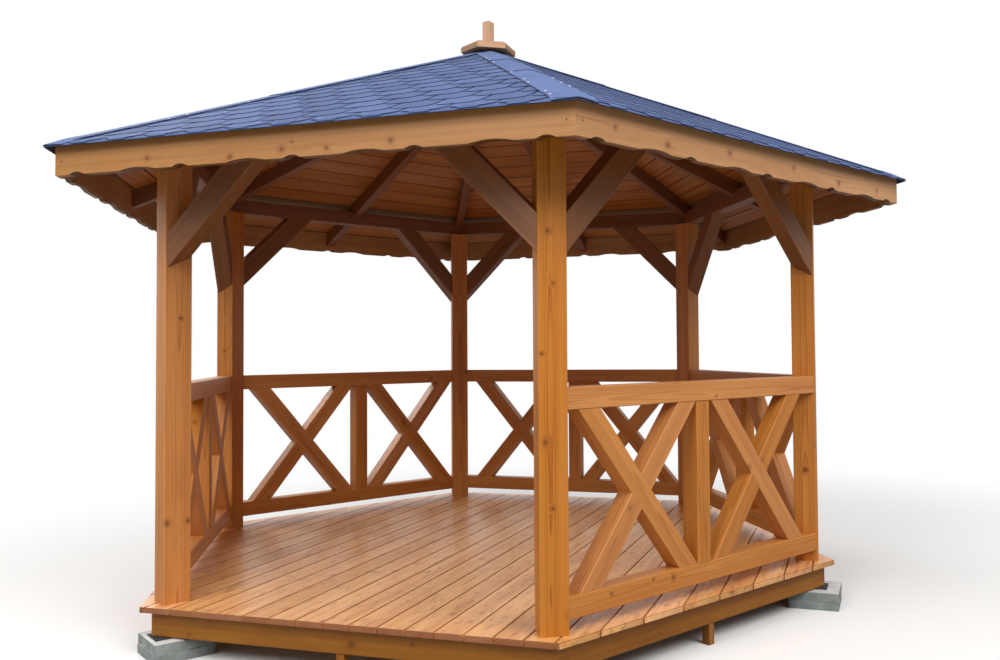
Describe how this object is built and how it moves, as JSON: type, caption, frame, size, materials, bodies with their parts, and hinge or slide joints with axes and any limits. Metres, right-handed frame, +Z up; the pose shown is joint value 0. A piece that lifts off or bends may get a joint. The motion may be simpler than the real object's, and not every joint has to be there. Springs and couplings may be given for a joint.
{
  "type": "hexagonal garden gazebo with railings",
  "caption": "Open hexagonal wooden garden gazebo on concrete slabs, with crossed railings on five sides and a low shingled roof.",
  "frame": {"origin": "centre of the hexagonal plan, on the ground under the slabs", "axes": "+Z up, -Y towards the open entrance side, +X towards the post on the right"},
  "size_m": [5.1894, 4.4942, 3.6713],
  "materials": {
    "frame_wood": "honey-orange stained softwood",
    "deck_wood": "stained deck boards",
    "roof_board_wood": "stained tongued boards",
    "shingle": "mineral-surfaced bitumen",
    "concrete": "pale cast concrete",
    "felt": "bitumen felt"
  },
  "bodies": {
    "root": {"bottom_rails": "frame_wood", "crosses_inner": "frame_wood", "crosses_outer": "frame_wood", "deck": "deck_wood", "fascia_back": "frame_wood", "fascia_back_left": "frame_wood", "fascia_back_right": "frame_wood", "fascia_front": "frame_wood", "fascia_front_left": "frame_wood", "fascia_front_right": "frame_wood", "finial_peg": "frame_wood", "finial_plate": "frame_wood", "floor_joists": "frame_wood", "hip_caps": "shingle", "hip_rafters": "frame_wood", "king_block": "frame_wood", "knee_braces": "frame_wood", "middle_posts": "frame_wood", "pier_pads": "felt", "post_back_left": "frame_wood", "post_back_right": "frame_wood", "post_front_left": "frame_wood", "post_front_right": "frame_wood", "post_left": "frame_wood", "post_right": "frame_wood", "rim_joist_back": "frame_wood", "rim_joist_back_left": "frame_wood", "rim_joist_back_right": "frame_wood", "rim_joist_front": "frame_wood", "rim_joist_front_left": "frame_wood", "rim_joist_front_right": "frame_wood", "roof_boards_back": "roof_board_wood", "roof_boards_back_left": "roof_board_wood", "roof_boards_back_right": "roof_board_wood", "roof_boards_front": "roof_board_wood", "roof_boards_front_left": "roof_board_wood", "roof_boards_front_right": "roof_board_wood", "shingles_back": "shingle", "shingles_back_left": "shingle", "shingles_back_right": "shingle", "shingles_front": "shingle", "shingles_front_left": "shingle", "shingles_front_right": "shingle", "side_rafters": "frame_wood", "slabs_lower": "concrete", "slabs_upper": "concrete", "stub_posts": "frame_wood", "top_rails": "frame_wood", "wall_plate_back": "frame_wood", "wall_plate_back_left": "frame_wood", "wall_plate_back_right": "frame_wood", "wall_plate_front": "frame_wood", "wall_plate_front_left": "frame_wood", "wall_plate_front_right": "frame_wood"}
  },
  "joints": []
}
